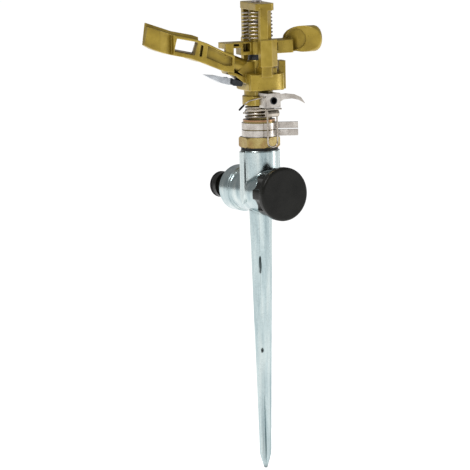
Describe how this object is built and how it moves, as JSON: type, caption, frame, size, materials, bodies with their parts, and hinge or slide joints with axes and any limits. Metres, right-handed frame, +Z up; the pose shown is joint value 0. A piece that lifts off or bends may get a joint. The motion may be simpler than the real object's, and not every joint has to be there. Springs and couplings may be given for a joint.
{
  "type": "impact sprinkler on ground spike",
  "caption": "Garden impact sprinkler: a swinging-arm head with trip collars on a flow-through ground spike with a hose nipple and a screw end cap.",
  "frame": {"origin": "on the head's turning axis at ground level, the top of the spike, under the valve body", "axes": "+Z up along the turning axis, away from the spike's point; the end cap faces -Y and the hose nipple points +Y"},
  "size_m": [0.1234, 0.08, 0.3091],
  "materials": {
    "plated_zinc": "bright zinc plating over a die casting, slightly bluish, semi-gloss",
    "black_plastic": "black moulded plastic, satin",
    "seal_rubber": "black rubber",
    "white_plastic": "natural moulded plastic",
    "brass": "turned brass, coppery in its reflections",
    "nickel_strip": "nickel-plated steel strip, warm and bright",
    "bronze_paint": "olive-gold lacquer over a die casting, semi-gloss",
    "washer_plastic": "dark low-friction plastic",
    "copper_washer": "copper-coloured washer",
    "spring_steel": "spring wire, bright",
    "pin_steel": "plain steel pin",
    "dark_steel": "blackened steel strip",
    "blade_steel": "bluish bare steel sheet"
  },
  "bodies": {
    "stake": {"spike_body": "plated_zinc", "end_cap": "black_plastic", "cap_washer": "seal_rubber", "inlet_nut": "plated_zinc", "nipple_washer": "seal_rubber", "hose_nipple": "black_plastic", "nipple_ring": "seal_rubber", "inlet_strainer": "white_plastic", "riser_seal": "seal_rubber", "bearing_nipple": "brass"},
    "lower_collar": {"lower_stop_collar": "nickel_strip"},
    "upper_collar": {"upper_stop_collar": "nickel_strip"},
    "head": {"sprinkler_body": "bronze_paint", "nozzle": "brass", "bearing_sleeve": "brass", "sleeve_washer": "washer_plastic", "thrust_washer": "copper_washer", "bearing_spring": "spring_steel", "fulcrum_pin": "pin_steel", "arm_washer": "washer_plastic", "drive_spring": "spring_steel", "deflector_bracket": "dark_steel", "deflector_pin": "pin_steel", "trip_bracket": "nickel_strip", "trip_pivot": "dark_steel", "trip_spring": "spring_steel", "snap_wire": "spring_steel"},
    "arm": {"drive_arm": "bronze_paint", "arm_bushing": "washer_plastic"},
    "deflector": {"deflector_plate": "blade_steel"},
    "trip_loop": {"trip_pin": "spring_steel"},
    "trip_claw": {"trip_lever": "nickel_strip"}
  },
  "joints": [
    {"name": "head_turn", "type": "hinge", "parent": "stake", "child": "head", "pos_m": [0, 0, 0.06], "axis": [0, 0, 1], "range_deg": [-240, 10]},
    {"name": "lower_collar_turn", "type": "hinge", "parent": "stake", "child": "lower_collar", "pos_m": [0, 0, 0.053], "axis": [0, 0, 1], "range_deg": [-8, 20]},
    {"name": "upper_collar_turn", "type": "hinge", "parent": "stake", "child": "upper_collar", "pos_m": [0, 0, 0.058], "axis": [0, 0, 1], "range_deg": [-8, 20]},
    {"name": "drive_arm_swing", "type": "hinge", "parent": "head", "child": "arm", "pos_m": [0, 0, 0.109], "axis": [0, 0, 1], "range_deg": [0, 40], "stiffness_Nm_per_rad": 0.03, "springref_deg": -34.38},
    {"name": "deflector_tilt", "type": "hinge", "parent": "head", "child": "deflector", "pos_m": [-0.0192, 0.00339, 0.0873], "axis": [0.1736, 0.9848, 0], "range_deg": [-8, 12]},
    {"name": "trip_swing", "type": "hinge", "parent": "head", "child": "trip_loop", "pos_m": [0, -0.0155, 0.0745], "axis": [0, -1, 0], "range_deg": [-10, 10]},
    {"name": "claw_tilt", "type": "hinge", "parent": "head", "child": "trip_claw", "pos_m": [0, -0.0135, 0.0745], "axis": [0, -1, 0], "range_deg": [-6, 6]}
  ],
  "couplings": [
    {"joint": "claw_tilt", "follows": "trip_swing", "ratio": 0.6}
  ]
}
